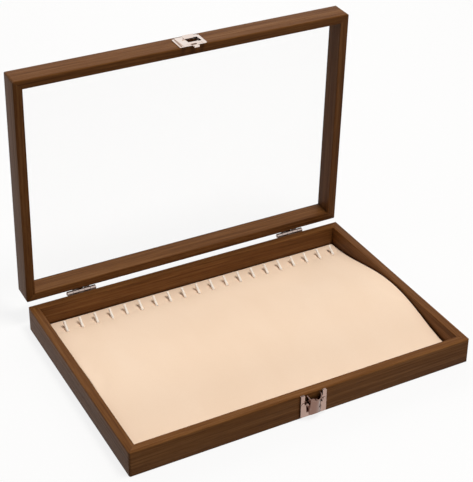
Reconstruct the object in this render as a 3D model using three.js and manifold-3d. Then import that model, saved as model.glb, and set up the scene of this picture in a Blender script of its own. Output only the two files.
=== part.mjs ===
// Necklace case: a shallow mitred wooden tray with an arched velvet pad and twenty hooks,
// and a glazed wooden lid on two stop hinges, held shut by a sprung press latch.
// Millimetres, +Z up, the front faces -Y, the origin is the centre of the tray's underside.
// The lid is modelled shut and turned back on its hinges.

import * as THREE from 'three';
import * as BufferGeometryUtils from 'three/addons/utils/BufferGeometryUtils.js';
import Module from 'manifold-3d';

const wasm = await Module();
wasm.setup();

// Case
const width = 350;
const depth = 240;
const trayHeight = 26;
const lidHeight = 24;
const wall = 9;
const cornerRadius = 2.4;
const outerEase = 1.3;
const rimEase = 0.6;
const glueLine = 0.05;
const seamGap = 0.3;
const seatGap = 0.1;
const lidOpenDegrees = 88;
const joinDistance = 1e-4;

// Bottom panel and glass
const panelThickness = 3;
const panelRebate = 4;
const panelFit = 0.2;
const glassThickness = 2.8;
const glassRebate = 4;
const glassRecess = 0.2;
const glassFit = 0.3;

// Display pad
const boardThickness = 2;
const boardFit = 1;
const padFit = 0.4;
const padSeat = 0.3;
const padCrestBelowRim = 1.7;
const padCrestFromFront = 103;
const padBackHeight = 7;
const padFrontHeight = 9.5;
const padEdgeRadius = 1.6;

// Hooks
const hookCount = 20;
const hookLeftMargin = 19;
const hookRightMargin = 12.5;
const hookFromBackWall = 21;
const hookLeanDegrees = 56;
const hookLength = 9.8;
const hookRadius = 1.45;
const hookNeckRadius = 1.2;
const hookTipRadius = 1.55;
const hookFit = 0.3;

// Hinges
const hingeInset = 56.5;
const hingeWidth = 30;
const leafReach = 16;
const leafThickness = 0.8;
const leafCorner = 1;
const barrelRadius = 2.2;
const barrelClear = 0.3;
const knuckleCount = 5;
const knuckleGap = 0.3;
const hingePinRadius = 1;
const hingePinFit = 0.12;
const hingePinHead = 0.45;
const stopReach = 5;
const stopGap = 0.3;
const stopThickness = 1.1;

// Screws
const screwShankRadius = 0.8;
const screwHeadRadius = 1.7;
const screwHeadHeight = 0.9;
const screwLength = 6;
const screwFit = 0.3;
const hingeScrewInset = 6;
const hingeScrewReach = 10.5;

// Latch, tray half
const latchShift = 3.4;
const latchWidth = 26.3;
const latchRise = 2;
const latchSheet = 0.8;
const latchCorner = 0.8;
const latchBelowRim = 0.2;
const latchAboveBase = 2.4;
const latchFlareHalf = 9.2;
const latchFlareFrom = 19;
const latchFlareRun = 1.6;
const latchScrewInset = 2.45;
const latchScrewHeight = 16.5;
const pinHeight = 17;
const pinStandOff = 1.3;
const pinRadius = 0.75;
const pinFit = 0.15;
const pinHeadRadius = 1.15;
const pinHeadHeight = 0.5;
const lugRadius = 1.7;

// Press button
const buttonFoot = 5;
const buttonRim = 25;
const buttonRimDip = 3.5;
const buttonSheet = 0.9;
const buttonFootHalf = 6;
const buttonRimHalf = 7.2;
const buttonFootProud = 3.1;
const buttonFootClear = 1.9;
const buttonRimProud = 5.8;
const buttonSquareness = 3;
const buttonFit = 0.4;
const buttonTuck = 0.9;
const buttonTuckFrom = 13.5;
const buttonTuckRun = 1.2;
const shelfBottom = 20.4;
const shelfThickness = 0.8;
const shelfStandOff = 0.8;

// Latch spring
const springWire = 0.5;
const springRadius = 1.3;
const springPitch = 1;
const springTurns = 4.5;
const springSteps = 8;
const springFrontLeg = 2.5;
const springFrontLean = 0.15;
const springBackLeg = 6.5;

// Strike, lid half of the latch
const strikeWidth = 28.5;
const strikeHeight = 18.5;
const strikeFlange = 2.5;
const strikeBase = 0.6;
const strikeSheet = 0.7;
const strikeAboveRim = 0.3;
const strikeBackRise = 1.5;
const strikeRimRise = 3.1;
const strikeBandBelowRim = 0.9;
const strikeEarFrom = 8.1;
const strikeEarLength = 4;
const strikeWindow = 13.5;
const strikeWindowHeight = 11.2;
const strikeWindowFromRim = 1.5;
const strikeWindowShift = 2.6;
const strikePocketFromRim = 7.1;
const strikePocketDepth = 2.5;
const liftTabWidth = 9.5;
const liftTabTipWidth = 12;
const liftTabLength = 3.6;
const liftTabShift = 0.9;
const liftTabDegrees = 45;
const tongueWidth = 5.2;
const hookPlay = 0.3;
const hookBite = 0.45;
const strikeScrewSpacing = 8;
const strikeScrewFromRim = 4.9;

// Finishes, as the eye sees them
const finishes = {
  wood: { color: 0x6f4b31, roughness: 0.55, metalness: 0 },
  panel: { color: 0x3b2a20, roughness: 0.8, metalness: 0 },
  board: { color: 0xb9a58c, roughness: 0.95, metalness: 0 },
  velvet: { color: 0xefdcc4, roughness: 0.95, metalness: 0 },
  hook: { color: 0xf6e6d2, roughness: 0.5, metalness: 0 },
  glass: { color: 0xeef6f4, roughness: 0.02, metalness: 0, transparent: true, opacity: 0.2 },
  chrome: { color: 0xd8d3d0, roughness: 0.12, metalness: 1 },
  steel: { color: 0xa9a6a3, roughness: 0.3, metalness: 1 },
};

// Sizes that follow from those above
const innerHalfWidth = width / 2 - wall;
const innerHalfDepth = depth / 2 - wall;
const boardTop = panelThickness + boardThickness;
const padBase = boardTop + padSeat;
const padCrestHeight = trayHeight - padCrestBelowRim;
const lidRim = trayHeight + seamGap;
const hingeOffset = barrelRadius + barrelClear;
const hingeY = depth / 2 + hingeOffset;
const hingeZ = trayHeight + seamGap / 2;
const hingeScrewSpacing = hingeWidth - 2 * hingeScrewInset;
const latchHeight = trayHeight - latchBelowRim - latchAboveBase;
const latchScrewSpacing = latchWidth - 2 * latchScrewInset;
const pinY = -(latchRise + pinStandOff);
const slotFoot = buttonTuckFrom - buttonTuckRun - buttonFit;
const strikeWindowTop = strikeAboveRim + strikeWindowFromRim + strikeWindowHeight;
const strikePocket = [strikeWindow - 2 * strikeSheet, strikeWindowTop - strikePocketFromRim];

const degrees = (angle) => THREE.MathUtils.degToRad(angle);
const mix = (from, to, share) => from + (to - from) * share;
const turned = (x, y, z) => new THREE.Matrix4().makeRotationFromEuler(new THREE.Euler(x, y, z));
const moved = (x, y, z) => new THREE.Matrix4().makeTranslation(x, y, z);

// Closed geometry into a solid that can be joined and cut, and back again
function solid(geometry, matrix) {
  const bare = geometry.clone();
  bare.deleteAttribute('normal');
  bare.deleteAttribute('uv');
  if (matrix) bare.applyMatrix4(matrix);
  const merged = BufferGeometryUtils.mergeVertices(bare, joinDistance);
  return new wasm.Manifold(new wasm.Mesh({
    numProp: 3,
    vertProperties: new Float32Array(merged.attributes.position.array),
    triVerts: new Uint32Array(merged.index.array),
  }));
}

function surface(body) {
  const mesh = body.getMesh();
  const geometry = new THREE.BufferGeometry();
  geometry.setAttribute('position', new THREE.Float32BufferAttribute(mesh.vertProperties, 3));
  geometry.setIndex(new THREE.Uint32BufferAttribute(mesh.triVerts, 1));
  geometry.computeVertexNormals();
  return geometry;
}

function piece(name, geometry, finish) {
  const mesh = new THREE.Mesh(geometry, new THREE.MeshStandardMaterial(finishes[finish]));
  mesh.name = name;
  return mesh;
}

// Outlines and simple solids
function roundedRectangle(w, h, r) {
  const shape = new THREE.Shape();
  shape.moveTo(-w / 2 + r, -h / 2);
  shape.lineTo(w / 2 - r, -h / 2);
  shape.absarc(w / 2 - r, -h / 2 + r, r, -Math.PI / 2, 0);
  shape.lineTo(w / 2, h / 2 - r);
  shape.absarc(w / 2 - r, h / 2 - r, r, 0, Math.PI / 2);
  shape.lineTo(-w / 2 + r, h / 2);
  shape.absarc(-w / 2 + r, h / 2 - r, r, Math.PI / 2, Math.PI);
  shape.lineTo(-w / 2, -h / 2 + r);
  shape.absarc(-w / 2 + r, -h / 2 + r, r, Math.PI, 1.5 * Math.PI);
  return shape;
}

function prism(shape, height, divisions = 4) {
  return new THREE.ExtrudeGeometry(shape, { depth: height, bevelEnabled: false, curveSegments: divisions });
}

// A prism whose outline lies in XZ and whose thickness runs from y = from towards -Y
function frontPrism(shape, thickness, from, x = 0, z = 0) {
  return solid(prism(shape, thickness), moved(x, from, z).multiply(turned(Math.PI / 2, 0, 0)));
}

function block(x0, x1, y0, y1, z0, z1) {
  const box = new THREE.BoxGeometry(x1 - x0, y1 - y0, z1 - z0);
  return solid(box, moved((x0 + x1) / 2, (y0 + y1) / 2, (z0 + z1) / 2));
}

// A prism whose outline lies in YZ and which reaches equally far to both sides of x = 0
function sidePrism(points, half) {
  const shape = new THREE.Shape(points.map(([y, z]) => new THREE.Vector2(y, z)));
  const axes = [new THREE.Vector3(0, 1, 0), new THREE.Vector3(0, 0, 1), new THREE.Vector3(1, 0, 0)];
  return solid(prism(shape, 2 * half), moved(-half, 0, 0).multiply(new THREE.Matrix4().makeBasis(...axes)));
}

// A cylinder along X from x0 to x1
function rodX(radius, x0, x1, y, z, sides) {
  const rod = new THREE.CylinderGeometry(radius, radius, x1 - x0, sides);
  return solid(rod, moved((x0 + x1) / 2, y, z).multiply(turned(0, 0, Math.PI / 2)));
}

// A blind bore for a screw, open at the wooden face at y = face and running inward along Y
function screwBore(x, face, z, inward) {
  const mouth = 1;
  const length = screwLength + screwFit + mouth;
  const radius = screwShankRadius + screwFit;
  const bore = new THREE.CylinderGeometry(radius, radius, length, 12);
  return solid(bore, moved(x, face + inward * (length / 2 - mouth), z));
}

// A hole right through a sheet whose faces lie near y
function sheetHole(x, y, z) {
  const radius = screwShankRadius + screwFit;
  return solid(new THREE.CylinderGeometry(radius, radius, 4, 12), moved(x, y, z));
}

// Rail profiles: u runs inward from the outer face, z up
function trayProfile() {
  const shape = new THREE.Shape();
  shape.moveTo(rimEase, 0);
  shape.lineTo(wall - panelRebate, 0);
  shape.lineTo(wall - panelRebate, panelThickness);
  shape.lineTo(wall, panelThickness);
  shape.lineTo(wall, trayHeight - rimEase);
  shape.absarc(wall - rimEase, trayHeight - rimEase, rimEase, 0, Math.PI / 2);
  shape.lineTo(outerEase, trayHeight);
  shape.absarc(outerEase, trayHeight - outerEase, outerEase, Math.PI / 2, Math.PI);
  shape.lineTo(0, rimEase);
  shape.absarc(rimEase, rimEase, rimEase, Math.PI, 1.5 * Math.PI);
  return shape;
}

function lidProfile() {
  const ledge = lidHeight - glassRecess - glassThickness;
  const shape = new THREE.Shape();
  shape.moveTo(outerEase, 0);
  shape.lineTo(wall - rimEase, 0);
  shape.absarc(wall - rimEase, rimEase, rimEase, -Math.PI / 2, 0);
  shape.lineTo(wall, ledge);
  shape.lineTo(wall - glassRebate, ledge);
  shape.lineTo(wall - glassRebate, lidHeight);
  shape.lineTo(outerEase, lidHeight);
  shape.absarc(outerEase, lidHeight - outerEase, outerEase, Math.PI / 2, Math.PI);
  shape.lineTo(0, outerEase);
  shape.absarc(outerEase, outerEase, outerEase, Math.PI, 1.5 * Math.PI);
  return shape;
}

// A rail of the given outer length whose ends are mitred: each profile point at depth u
// stops u short of the corner
function mitredRail(profile, length) {
  const drawn = profile.extractPoints(3).shape;
  const outline = drawn.filter((point, i) => point.distanceTo(drawn.at(i - 1)) > joinDistance);
  const count = outline.length;
  const positions = [];
  for (const side of [-1, 1]) {
    for (const point of outline) positions.push(side * (length / 2 - point.x - glueLine), point.x, point.y);
  }
  const indices = [];
  for (let i = 0; i < count; i += 1) {
    const next = (i + 1) % count;
    indices.push(i, next, i + count, next, next + count, i + count);
  }
  for (const [a, b, c] of THREE.ShapeUtils.triangulateShape(outline, [])) {
    indices.push(a, c, b);
    indices.push(a + count, b + count, c + count);
  }
  const geometry = new THREE.BufferGeometry();
  geometry.setAttribute('position', new THREE.Float32BufferAttribute(positions, 3));
  geometry.setIndex(indices);
  return geometry;
}

// Four mitred rails round the case, with rounded upright corners
function mitredFrame(profile, height) {
  const corners = solid(prism(roundedRectangle(width, depth, cornerRadius), height));
  const place = {
    front: { length: width, at: moved(0, -depth / 2, 0), turn: 0 },
    back: { length: width, at: moved(0, depth / 2, 0), turn: Math.PI },
    left: { length: depth, at: moved(-width / 2, 0, 0), turn: -Math.PI / 2 },
    right: { length: depth, at: moved(width / 2, 0, 0), turn: Math.PI / 2 },
  };
  const rails = {};
  for (const [side, { length, at, turn }] of Object.entries(place)) {
    const rail = solid(mitredRail(profile, length), at.multiply(turned(0, 0, turn)));
    rails[side] = rail.intersect(corners);
  }
  return rails;
}

// Screws
function woodScrew() {
  const profile = [new THREE.Vector2(0, -screwLength)];
  profile.push(new THREE.Vector2(screwShankRadius, -screwLength + 1.5));
  profile.push(new THREE.Vector2(screwShankRadius, 0));
  profile.push(new THREE.Vector2(screwHeadRadius, 0));
  for (let i = 0; i <= 3; i += 1) {
    const angle = (i / 3) * (Math.PI / 2);
    const y = screwHeadHeight * (0.25 + 0.75 * Math.sin(angle));
    profile.push(new THREE.Vector2(i === 3 ? 0 : screwHeadRadius * Math.cos(angle), y));
  }
  return new THREE.LatheGeometry(profile, 14);
}

const screwGeometry = woodScrew();

function screw(name, x, y, z, outward) {
  const mesh = piece(name, screwGeometry, 'steel');
  mesh.position.set(x, y, z);
  mesh.rotation.x = outward > 0 ? 0 : Math.PI;
  return mesh;
}

// Display pad: an arched cushion, highest near the middle of its depth
const padCrestY = padCrestFromFront - innerHalfDepth;

function padHeight(y) {
  const behind = y > padCrestY;
  const end = behind ? padBackHeight : padFrontHeight;
  const span = behind ? innerHalfDepth - padCrestY : innerHalfDepth + padCrestY;
  const wave = (1 + Math.cos((Math.PI * Math.abs(y - padCrestY)) / span)) / 2;
  return end + (padCrestHeight - end) * wave;
}

// How far the folded edge of the cover falls away at a distance from the pad's side
function edgeDrop(distance) {
  const inside = Math.max(0, padEdgeRadius - distance);
  return padEdgeRadius - Math.sqrt(padEdgeRadius ** 2 - inside ** 2);
}

// Stations from -half to half, crowded towards both ends for the rounded edge
function padStations(half, spans) {
  const edge = [0, 0.12, 0.4, 1].map((share) => share * padEdgeRadius);
  const inner = half - padEdgeRadius;
  const middle = [];
  for (let i = 1; i < spans; i += 1) middle.push(mix(-inner, inner, i / spans));
  return [...edge.map((e) => e - half), ...middle, ...edge.reverse().map((e) => half - e)];
}

function displayPad() {
  const halfX = innerHalfWidth - padFit;
  const halfY = innerHalfDepth - padFit;
  const xs = padStations(halfX, 1);
  const ys = padStations(halfY, 22);
  const positions = [];
  for (const top of [true, false]) {
    for (const y of ys) {
      for (const x of xs) {
        const drop = Math.min(edgeDrop(halfX - Math.abs(x)) + edgeDrop(halfY - Math.abs(y)), padEdgeRadius);
        positions.push(x, y, top ? padHeight(y) - drop : padBase);
      }
    }
  }
  const across = xs.length;
  const layer = across * ys.length;
  const indices = [];
  const quad = (a, b, c, d) => indices.push(a, b, c, a, c, d);
  for (let j = 0; j < ys.length - 1; j += 1) {
    for (let i = 0; i < across - 1; i += 1) {
      const a = j * across + i;
      quad(a, a + 1, a + across + 1, a + across);
      quad(layer + a, layer + a + across, layer + a + across + 1, layer + a + 1);
    }
  }
  for (let i = 0; i < across - 1; i += 1) {
    const far = layer - across + i;
    quad(i, layer + i, layer + i + 1, i + 1);
    quad(far, far + 1, layer + far + 1, layer + far);
  }
  for (let j = 0; j < ys.length - 1; j += 1) {
    const left = j * across;
    const right = left + across - 1;
    quad(left, left + across, layer + left + across, layer + left);
    quad(right, layer + right, layer + right + across, right + across);
  }
  const geometry = new THREE.BufferGeometry();
  geometry.setAttribute('position', new THREE.Float32BufferAttribute(positions, 3));
  geometry.setIndex(indices);
  let pad = solid(geometry);
  for (const x of hookPlaces()) pad = pad.subtract(hookBore(x));
  return surface(pad);
}

// Hooks: leaning pegs in a row along the back, each let into the pad down to the board
const hookY = innerHalfDepth - hookFromBackWall;
const hookZ = padHeight(hookY);
const hookLean = degrees(hookLeanDegrees);
const hookShank = (hookZ - boardTop - seatGap - hookRadius * Math.sin(hookLean)) / Math.cos(hookLean);

function hookPlaces() {
  const first = -innerHalfWidth + hookLeftMargin;
  const last = innerHalfWidth - hookRightMargin;
  return Array.from({ length: hookCount }, (_, i) => mix(first, last, i / (hookCount - 1)));
}

function hookBore(x) {
  const radius = hookRadius + hookFit;
  const reach = 2 * (hookShank + hookRadius);
  const bore = new THREE.CylinderGeometry(radius, radius, 2 * reach, 8);
  return solid(bore, moved(x, hookY, hookZ).multiply(turned(Math.PI / 2 - hookLean, 0, 0)));
}

function hookPeg() {
  const neck = hookLength - 2 * hookTipRadius;
  const profile = [
    new THREE.Vector2(0, -hookShank),
    new THREE.Vector2(hookRadius, -hookShank),
    new THREE.Vector2(hookRadius, 0),
    new THREE.Vector2(hookNeckRadius, neck),
  ];
  for (const angle of [-20, 20, 55, 90]) {
    const r = angle === 90 ? 0 : hookTipRadius * Math.cos(degrees(angle));
    profile.push(new THREE.Vector2(r, hookLength - hookTipRadius + hookTipRadius * Math.sin(degrees(angle))));
  }
  return new THREE.LatheGeometry(profile, 10);
}

// Hinges, in a frame whose X is the hinge axis. side is -1 for the tray's leaf, 1 for the lid's
const leafFace = -hingeOffset + seatGap;
const leafStart = barrelRadius + barrelClear + seatGap;

function knuckleSpan(index) {
  const each = (hingeWidth - (knuckleCount - 1) * knuckleGap) / knuckleCount;
  const from = -hingeWidth / 2 + index * (each + knuckleGap);
  return [from, from + each];
}

function hingeLeaf(side) {
  const leafHeight = leafReach - leafStart;
  const outline = roundedRectangle(hingeWidth, leafHeight, leafCorner);
  const middle = side * (leafStart + leafHeight / 2);
  let leaf = frontPrism(outline, leafThickness, leafFace + leafThickness, 0, middle);
  const firstKnuckle = side < 0 ? 0 : 1;
  for (let index = firstKnuckle; index < knuckleCount; index += 2) {
    const [from, to] = knuckleSpan(index);
    const ends = [side * (leafStart + leafCorner), side * (barrelRadius / 4)].sort((a, b) => a - b);
    leaf = leaf.add(rodX(barrelRadius, from, to, 0, 0, 20));
    leaf = leaf.add(block(from, to, leafFace, leafFace + leafThickness, ...ends));
  }
  if (side < 0) leaf = leaf.add(stopTongue());
  leaf = leaf.subtract(rodX(hingePinRadius + hingePinFit, -hingeWidth, hingeWidth, 0, 0, 16));
  for (const x of [-hingeScrewSpacing / 2, hingeScrewSpacing / 2]) {
    leaf = leaf.subtract(sheetHole(x, leafFace, side * hingeScrewReach));
  }
  return surface(leaf);
}

// The middle knuckle's tongue, which the lid's leaf comes down on when the lid is open. It is
// drawn for a leaf that lies level and then turned to the angle that the lid opens to
function stopTongue() {
  const [from, to] = knuckleSpan((knuckleCount - 1) / 2);
  const top = -(leafFace + leafThickness) - stopGap;
  const tongue = block(from, to, hingePinRadius + hingePinFit, stopReach, top - stopThickness, top);
  return tongue.rotate([90 - lidOpenDegrees, 0, 0]);
}

function hingePin() {
  const half = hingeWidth / 2;
  const headRadius = hingePinRadius + hingePinHead;
  const profile = [
    new THREE.Vector2(0, -half - seatGap - hingePinHead),
    new THREE.Vector2(headRadius * 0.8, -half - seatGap - hingePinHead),
    new THREE.Vector2(headRadius, -half - seatGap - hingePinHead / 2),
    new THREE.Vector2(headRadius, -half - seatGap),
    new THREE.Vector2(hingePinRadius, -half - seatGap),
    new THREE.Vector2(hingePinRadius, half + seatGap),
    new THREE.Vector2(headRadius, half + seatGap),
    new THREE.Vector2(headRadius, half + seatGap + hingePinHead / 2),
    new THREE.Vector2(headRadius * 0.8, half + seatGap + hingePinHead),
    new THREE.Vector2(0, half + seatGap + hingePinHead),
  ];
  return new THREE.LatheGeometry(profile, 12);
}

const hingePlaces = {
  left: -width / 2 + hingeInset,
  right: width / 2 - hingeInset,
};

// Latch. Its pieces are drawn with y = 0 at the wooden front face and x = 0 at the latch's middle
const buttonShare = (z) => (z - buttonFoot) / (buttonRim - buttonFoot);
const buttonHalf = (z) => mix(buttonFootHalf, buttonRimHalf, buttonShare(z));

function latchBasePlate() {
  const middle = latchAboveBase + latchHeight / 2;
  const outer = roundedRectangle(latchWidth, latchHeight, latchCorner);
  const inner = roundedRectangle(latchWidth - 2 * latchSheet, latchHeight - 2 * latchSheet, latchCorner / 2);
  let plate = frontPrism(outer, latchRise, 0, 0, middle);
  plate = plate.subtract(frontPrism(inner, 1 + latchRise - latchSheet, 1, 0, middle));
  const slotSide = [
    [buttonHalf(slotFoot) + buttonFit, slotFoot],
    [buttonHalf(latchFlareFrom) + buttonFit, latchFlareFrom],
    [latchFlareHalf, latchFlareFrom + latchFlareRun],
    [latchFlareHalf, trayHeight + 1],
  ];
  const slotOutline = [...slotSide, ...slotSide.map(([x, z]) => [-x, z]).reverse()];
  const slot = new THREE.Shape(slotOutline.map(([x, z]) => new THREE.Vector2(x, z)));
  plate = plate.subtract(frontPrism(slot, latchRise + 2, 1));
  const lugFrom = buttonHalf(pinHeight + lugRadius) + buttonFit;
  for (const side of [-1, 1]) {
    const [x0, x1] = [side * lugFrom, side * (lugFrom + latchSheet)].sort((a, b) => a - b);
    plate = plate.add(block(x0, x1, pinY, latchSheet - latchRise, pinHeight - lugRadius, pinHeight + lugRadius));
    plate = plate.add(rodX(lugRadius, x0, x1, pinY, pinHeight, 16));
    plate = plate.subtract(sheetHole((side * latchScrewSpacing) / 2, -latchRise, latchScrewHeight));
  }
  plate = plate.subtract(rodX(pinRadius + pinFit, -latchWidth, latchWidth, pinY, pinHeight, 16));
  return surface(plate);
}

// The press button is a scoop: a sheet bent to a U that widens, deepens and opens towards the
// top, dips at the front of its rim, and carries the shelf that the strike's tongue hooks under
function buttonPoint(share, angle, inset) {
  const half = mix(buttonFootHalf, buttonRimHalf, share) - inset;
  const proud = latchRise + mix(buttonFootProud, buttonRimProud, share) - inset;
  const tuckEnd = buttonShare(buttonTuckFrom);
  const tuckStart = buttonShare(buttonTuckFrom - buttonTuckRun);
  const tucked = THREE.MathUtils.clamp((share - tuckStart) / (tuckEnd - tuckStart), 0, 1);
  const end = mix(latchRise + buttonFootClear, latchRise - buttonTuck, tucked);
  const power = 2 / buttonSquareness;
  const across = Math.sign(Math.cos(angle)) * Math.abs(Math.cos(angle)) ** power;
  const outward = Math.abs(Math.sin(angle)) ** power;
  const rim = buttonRim - buttonRimDip * Math.sin(angle) ** 1.5;
  return [-half * across, -mix(end, proud, outward), mix(buttonFoot, rim, share)];
}

function buttonScoop() {
  const arcs = 14;
  const tuckShares = [buttonTuckFrom - buttonTuckRun, buttonTuckFrom].map(buttonShare);
  const shares = [0, 0.13, ...tuckShares, 0.45, 0.6, 0.75, 0.9, 1];
  const positions = [];
  for (const share of shares) {
    for (const inset of [0, buttonSheet]) {
      for (let i = 0; i <= arcs; i += 1) positions.push(...buttonPoint(share, (Math.PI * i) / arcs, inset));
    }
  }
  const strip = arcs + 1;
  const layer = 2 * strip;
  const last = (shares.length - 1) * layer;
  const indices = [];
  const quad = (a, b, c, d) => indices.push(a, b, c, a, c, d);
  for (let k = 0; k < shares.length - 1; k += 1) {
    const a = k * layer;
    for (let i = 0; i < arcs; i += 1) {
      quad(a + i, a + i + 1, a + layer + i + 1, a + layer + i);
      quad(a + strip + i, a + layer + strip + i, a + layer + strip + i + 1, a + strip + i + 1);
    }
    quad(a, a + layer, a + layer + strip, a + strip);
    quad(a + arcs, a + strip + arcs, a + layer + strip + arcs, a + layer + arcs);
  }
  for (let i = 0; i < arcs; i += 1) {
    quad(i, i + strip, i + strip + 1, i + 1);
    quad(last + i, last + i + 1, last + strip + i + 1, last + strip + i);
  }
  const geometry = new THREE.BufferGeometry();
  geometry.setAttribute('position', new THREE.Float32BufferAttribute(positions, 3));
  geometry.setIndex(indices);
  return solid(geometry);
}

function pressButton() {
  const share = buttonShare(shelfBottom);
  const plan = new THREE.Shape();
  for (let i = 0; i <= 14; i += 1) {
    const [x, y] = buttonPoint(share, (Math.PI * i) / 14, buttonSheet / 2);
    if (i === 0) plan.moveTo(x, y);
    else plan.lineTo(x, y);
  }
  const shelfEdge = -(latchRise + shelfStandOff);
  const shelf = solid(prism(plan, shelfThickness), moved(0, 0, shelfBottom));
  const front = block(-latchWidth, latchWidth, shelfEdge - 10, shelfEdge, shelfBottom - 1, shelfBottom + 2);
  const button = buttonScoop().add(shelf.intersect(front));
  return surface(button.subtract(rodX(pinRadius + pinFit, -latchWidth, latchWidth, pinY, pinHeight, 16)));
}

function latchPin() {
  const half = buttonHalf(pinHeight + lugRadius) + buttonFit + latchSheet + seatGap;
  const profile = [
    new THREE.Vector2(0, -half - pinHeadHeight),
    new THREE.Vector2(pinHeadRadius * 0.7, -half - pinHeadHeight),
    new THREE.Vector2(pinHeadRadius, -half - pinHeadHeight / 3),
    new THREE.Vector2(pinHeadRadius, -half),
    new THREE.Vector2(pinRadius, -half),
    new THREE.Vector2(pinRadius, half),
    new THREE.Vector2(pinHeadRadius, half),
    new THREE.Vector2(pinHeadRadius, half + pinHeadHeight / 3),
    new THREE.Vector2(pinHeadRadius * 0.7, half + pinHeadHeight),
    new THREE.Vector2(0, half + pinHeadHeight),
  ];
  return new THREE.LatheGeometry(profile, 12);
}

// Torsion spring round the pin: one leg behind the button's face, the other on the base plate
function springPath() {
  const turns = Math.round(springTurns * springSteps);
  const startX = -(springTurns * springPitch) / 2;
  const points = [];
  for (const share of [0, 0.5]) {
    const y = pinY - springRadius + springFrontLean * (1 - share);
    points.push(new THREE.Vector3(startX, y, pinHeight - springFrontLeg * (1 - share)));
  }
  for (let i = 0; i <= turns; i += 1) {
    const angle = (2 * Math.PI * i) / springSteps;
    const x = startX + (springPitch * i) / springSteps;
    const y = pinY - springRadius * Math.cos(angle);
    points.push(new THREE.Vector3(x, y, pinHeight + springRadius * Math.sin(angle)));
  }
  const restY = -(latchRise + seatGap + springWire / 2);
  for (const share of [0.5, 0.8, 1]) {
    const y = mix(pinY + springRadius, restY, Math.min(1, share / 0.8));
    points.push(new THREE.Vector3(-startX, y, pinHeight - springBackLeg * share));
  }
  return points;
}

// The least gap between turns, measured between points more than half a turn apart
function leastGap(points) {
  let least = Infinity;
  for (let i = 0; i < points.length; i += 1) {
    for (let j = i + springSteps / 2 + 1; j < points.length; j += 1) {
      least = Math.min(least, points[i].distanceTo(points[j]) - springWire);
    }
  }
  return least;
}

function latchSpring() {
  const points = springPath();
  console.log('latch spring, least gap between turns: ' + leastGap(points).toFixed(2) + ' mm');
  const section = new THREE.Shape();
  section.absarc(0, 0, springWire / 2, 0, 2 * Math.PI);
  return new THREE.ExtrudeGeometry(new THREE.Shape(section.getSpacedPoints(5).slice(0, 5)), {
    steps: points.length + 4,
    extrudePath: new THREE.CatmullRomCurve3(points),
  });
}

// Strike: a plate with a windowed panel that rises towards the rim and runs past it as two ears, a
// lift tab bent out of the window and a hooked tongue that hangs below the rim. z = 0 is the lid's rim
const strikeRise = (z) => mix(strikeRimRise, strikeBackRise, (z - strikeAboveRim) / strikeHeight);

// The panel's section inside its skin by inset, standing on the plate at y = -foot
function strikeSection(inset, foot) {
  const [low, high] = [strikeAboveRim + inset, strikeAboveRim + strikeHeight - inset];
  return [[-foot, low], [inset - strikeRise(low), low], [inset - strikeRise(high), high], [-foot, high]];
}

function strikePlate() {
  const middle = strikeAboveRim + strikeHeight / 2;
  const half = strikeWidth / 2 - strikeFlange;
  const skin = (x0, x1, belowRim) => {
    const skinTop = strikeAboveRim + strikeSheet;
    return block(x0, x1, -strikeRimRise, strikeSheet - strikeRimRise, -belowRim, skinTop);
  };
  const reach = strikeHeight + strikeAboveRim + strikeEarLength;
  const outline = roundedRectangle(2 * half, reach, latchCorner);
  const trim = frontPrism(outline, strikeRimRise + 2, 1, 0, reach / 2 - strikeEarLength);
  let plate = sidePrism(strikeSection(0, 0), half).add(skin(-half, half, strikeBandBelowRim));
  plate = plate.add(skin(-half, -strikeEarFrom, strikeEarLength)).add(skin(strikeEarFrom, half, strikeEarLength));
  plate = plate.intersect(trim);
  plate = plate.subtract(sidePrism(strikeSection(strikeSheet, strikeBase), half - strikeSheet));
  plate = plate.add(frontPrism(roundedRectangle(strikeWidth, strikeHeight, latchCorner), strikeBase, 0, 0, middle));
  const windowMiddle = strikeWindowTop - strikeWindowHeight / 2;
  const opening = roundedRectangle(strikeWindow, strikeWindowHeight, latchCorner / 2);
  plate = plate.subtract(frontPrism(opening, strikeRimRise, -strikeBase, strikeWindowShift, windowMiddle));
  const pocketMiddle = strikeWindowTop - strikePocket[1] / 2;
  const pocket = roundedRectangle(...strikePocket, latchCorner / 2);
  plate = plate.subtract(frontPrism(pocket, strikeRimRise, 1, strikeWindowShift, pocketMiddle));
  plate = plate.add(liftTab(strikeWindowTop)).add(hookTongue());
  for (const x of strikeScrewPlaces()) plate = plate.subtract(sheetHole(x, -strikeBase, strikeScrewFromRim));
  return surface(plate);
}

// A tab that widens towards its tip, bent outwards and up from the window's upper edge
function liftTab(z) {
  const halfRoot = liftTabWidth / 2;
  const halfTip = liftTabTipWidth / 2;
  const outline = new THREE.Shape();
  outline.moveTo(-halfRoot, 0);
  outline.lineTo(halfRoot, 0);
  outline.lineTo(halfTip, liftTabLength - latchCorner);
  outline.quadraticCurveTo(halfTip, liftTabLength, halfTip - latchCorner, liftTabLength);
  outline.lineTo(latchCorner - halfTip, liftTabLength);
  outline.quadraticCurveTo(-halfTip, liftTabLength, -halfTip, liftTabLength - latchCorner);
  const lean = 90 - liftTabDegrees;
  const tab = frontPrism(outline, strikeSheet, strikeSheet).rotate([lean, 0, 0]);
  const root = frontPrism(roundedRectangle(liftTabWidth, 2 * strikeSheet, strikeSheet / 2), strikeSheet, strikeSheet);
  return tab.add(root).translate([liftTabShift, -strikeRise(z), z]);
}

function hookTongue() {
  const lipTop = shelfBottom - hookPlay - lidRim;
  const lipBottom = lipTop - latchSheet;
  const lipTip = -(latchRise + shelfStandOff + hookBite);
  const half = tongueWidth / 2;
  const tongue = block(-half, half, -latchRise, latchSheet - latchRise, lipBottom, strikeAboveRim + latchSheet);
  return tongue.add(block(-half, half, lipTip, latchSheet - latchRise, lipBottom, lipTop));
}

function strikeScrewPlaces() {
  return [-strikeScrewSpacing / 2, strikeScrewSpacing / 2].map((x) => x + strikeWindowShift);
}

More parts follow.
